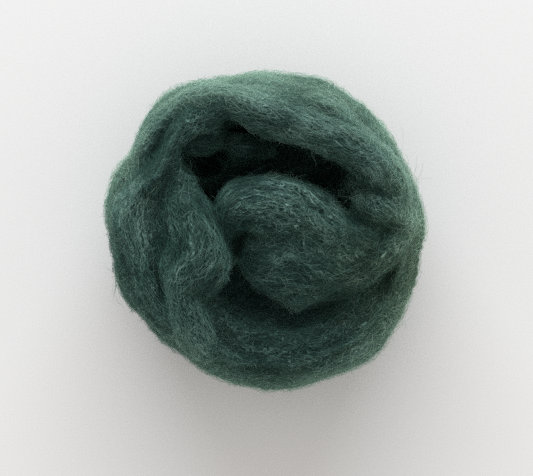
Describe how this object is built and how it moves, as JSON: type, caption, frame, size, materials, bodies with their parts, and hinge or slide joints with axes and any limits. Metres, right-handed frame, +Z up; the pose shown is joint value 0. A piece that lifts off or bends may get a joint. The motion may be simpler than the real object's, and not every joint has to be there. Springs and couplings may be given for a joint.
{
  "type": "wound ball of wool batting",
  "caption": "Soft wound ball of carded wool batting with broad outer wraps and folds coiled into a nest at the top, resting on a small flat spot.",
  "frame": {"origin": "on the surface that the ball rests on, under the middle of its bounding box", "axes": "+Z up out of the nest at the top; +Y towards the broad fold that arches over the top, which is the picture's upper side; +X to the picture's right"},
  "size_m": [0.1276, 0.1262, 0.0832],
  "materials": {
    "green_wool": "loose crimped wool fibres, matt with a soft sheen"
  },
  "bodies": {
    "root": {"wool_batting_ball": "green_wool"}
  },
  "joints": []
}
